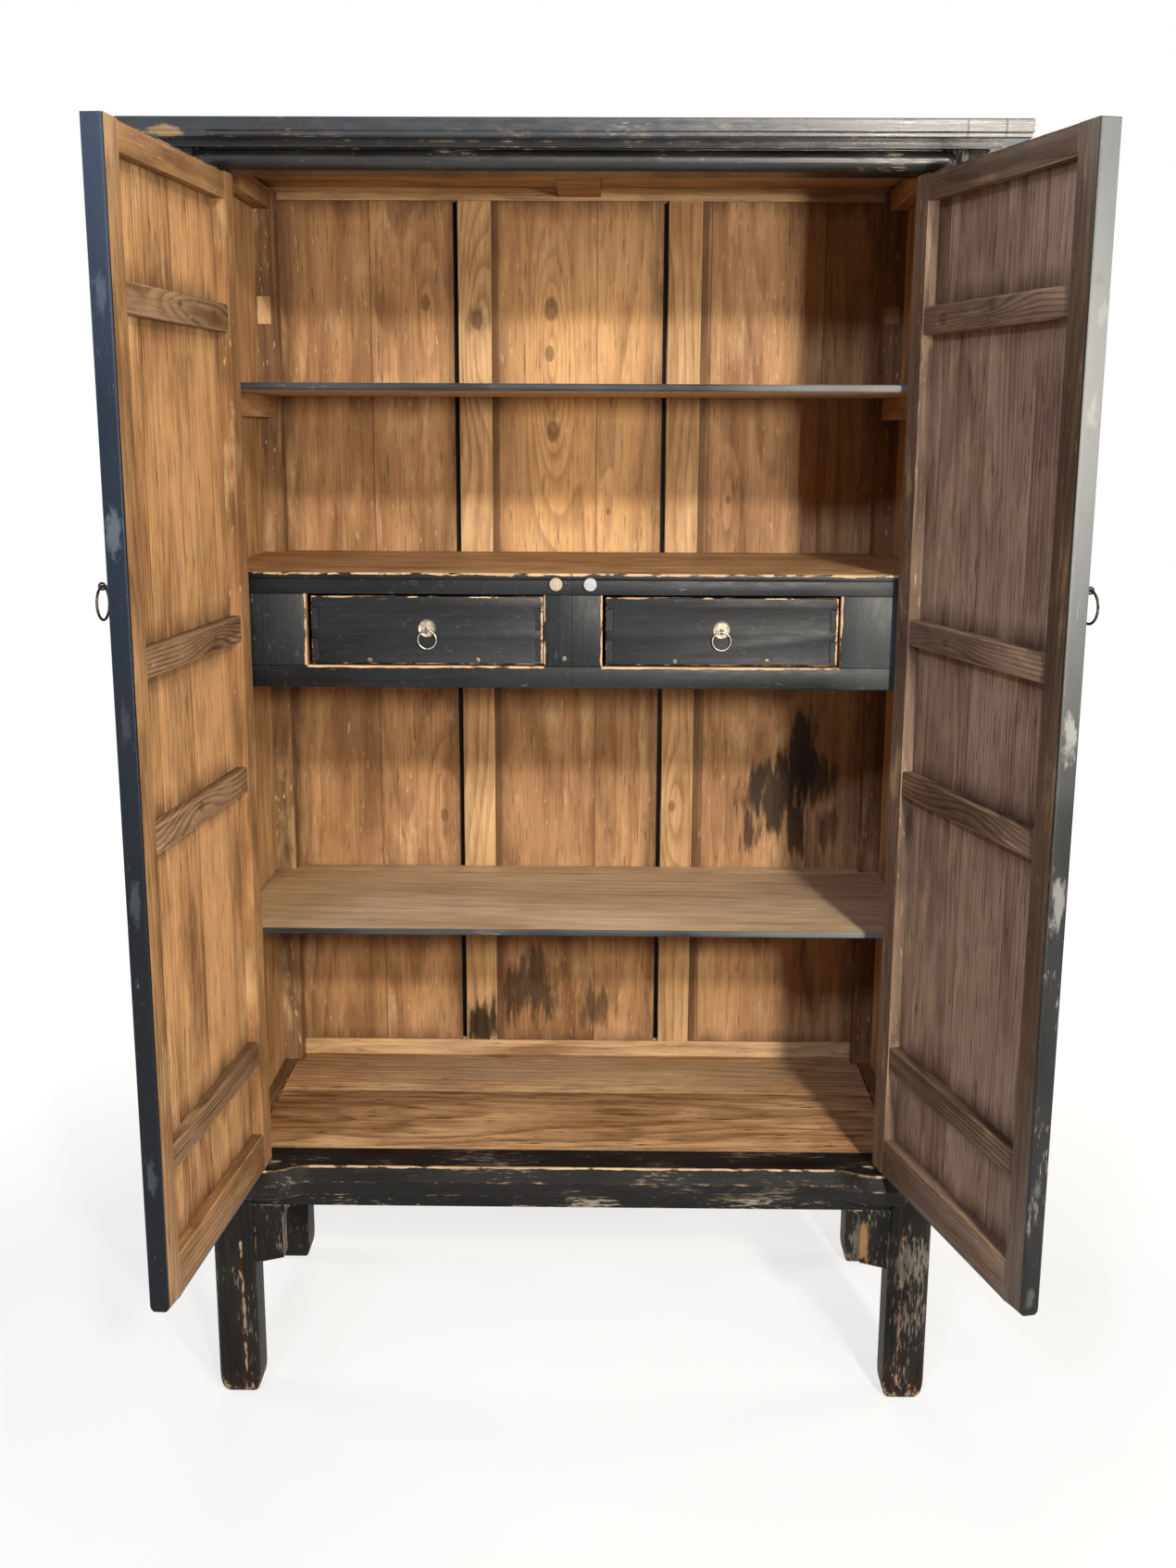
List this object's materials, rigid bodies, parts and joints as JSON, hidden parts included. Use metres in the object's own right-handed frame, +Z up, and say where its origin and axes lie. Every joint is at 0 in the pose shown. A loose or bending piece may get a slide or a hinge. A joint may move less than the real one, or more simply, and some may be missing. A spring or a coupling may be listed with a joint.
{
  "type": "free-standing tall cabinet",
  "caption": "Tall black-lacquered cabinet on legs with pivot-hung panelled doors, loose shelves, ring-pull inner drawers and an overhanging cornice.",
  "frame": {"origin": "on the floor, midway between the outer faces of the four posts", "axes": "+X to the cabinet's right as seen from the front, +Y to the back, +Z up"},
  "size_m": [1.1968, 0.9487, 1.85],
  "materials": {
    "black_lacquer": "worn black lacquer, satin",
    "bare_wood": "aged bare softwood",
    "aged_brass": "dull aged brass",
    "dark_iron": "dark forged iron",
    "felt": "pressed felt"
  },
  "bodies": {
    "carcass": {"apron": "black_lacquer", "back_bottom_rail": "bare_wood", "back_muntins": "bare_wood", "back_panels": "bare_wood", "back_top_rail": "bare_wood", "bed_moulding": "black_lacquer", "brackets": "black_lacquer", "cornice_back": "black_lacquer", "cornice_front": "black_lacquer", "cornice_sides": "black_lacquer", "drawer_divider": "bare_wood", "drawer_guides": "bare_wood", "floor_boards": "bare_wood", "head_rail": "black_lacquer", "lower_rail": "black_lacquer", "lower_shelf": "bare_wood", "post_front_left": "black_lacquer", "post_front_right": "black_lacquer", "post_rear_left": "black_lacquer", "post_rear_right": "black_lacquer", "shelf_bearers": "bare_wood", "side_bottom_rails": "black_lacquer", "side_panels": "black_lacquer", "side_top_rails": "black_lacquer", "stop_pads": "felt", "top_batten": "bare_wood", "top_panel": "bare_wood", "unit_bottom_rail": "black_lacquer", "unit_deck": "black_lacquer", "unit_dust_board": "bare_wood", "unit_stiles": "black_lacquer", "unit_top_rail": "black_lacquer", "upper_shelf": "bare_wood"},
    "door_left": {"door_left_battens": "bare_wood", "door_left_free_stile": "black_lacquer", "door_left_hinge_stile": "black_lacquer", "door_left_panel": "black_lacquer", "door_left_pull": "dark_iron", "door_left_rails": "black_lacquer"},
    "door_ring_left": {"door_left_ring": "dark_iron"},
    "drawer_left": {"drawer_left_back": "bare_wood", "drawer_left_bottom": "bare_wood", "drawer_left_front": "black_lacquer", "drawer_left_pull": "aged_brass", "drawer_left_sides": "bare_wood"},
    "drawer_ring_left": {"drawer_left_ring": "aged_brass"},
    "door_right": {"door_right_battens": "bare_wood", "door_right_free_stile": "black_lacquer", "door_right_hinge_stile": "black_lacquer", "door_right_panel": "black_lacquer", "door_right_pull": "dark_iron", "door_right_rails": "black_lacquer"},
    "door_ring_right": {"door_right_ring": "dark_iron"},
    "drawer_right": {"drawer_right_back": "bare_wood", "drawer_right_bottom": "bare_wood", "drawer_right_front": "black_lacquer", "drawer_right_pull": "aged_brass", "drawer_right_sides": "bare_wood"},
    "drawer_ring_right": {"drawer_right_ring": "aged_brass"}
  },
  "joints": [
    {"name": "door_left_pivot", "type": "hinge", "parent": "carcass", "child": "door_left", "pos_m": [-0.4645, -0.237, 0], "axis": [0, 0, -1], "range_deg": [-94.7, 15.3]},
    {"name": "door_left_ring_swing", "type": "hinge", "parent": "door_left", "child": "door_ring_left", "pos_m": [-0.527, -0.67385, 1.284], "axis": [0.0819, 0.9966, 0], "range_deg": [-15, 100]},
    {"name": "door_right_pivot", "type": "hinge", "parent": "carcass", "child": "door_right", "pos_m": [0.4645, -0.237, 0], "axis": [0, 0, 1], "range_deg": [-104.5, 5.5]},
    {"name": "door_right_ring_swing", "type": "hinge", "parent": "door_right", "child": "door_ring_right", "pos_m": [0.60045, -0.65683, 1.284], "axis": [0.2504, -0.9681, 0], "range_deg": [-15, 100]},
    {"name": "drawer_left_slide", "type": "slide", "parent": "carcass", "child": "drawer_left", "axis": [0, -1, 0], "range_m": [0, 0.3]},
    {"name": "drawer_left_ring_swing", "type": "hinge", "parent": "drawer_left", "child": "drawer_ring_left", "pos_m": [-0.206, -0.2216, 1.1838], "axis": [-1, 0, 0], "range_deg": [-2, 100]},
    {"name": "drawer_right_slide", "type": "slide", "parent": "carcass", "child": "drawer_right", "axis": [0, -1, 0], "range_m": [0, 0.3]},
    {"name": "drawer_right_ring_swing", "type": "hinge", "parent": "drawer_right", "child": "drawer_ring_right", "pos_m": [0.2095, -0.2216, 1.1838], "axis": [-1, 0, 0], "range_deg": [-2, 100]}
  ]
}
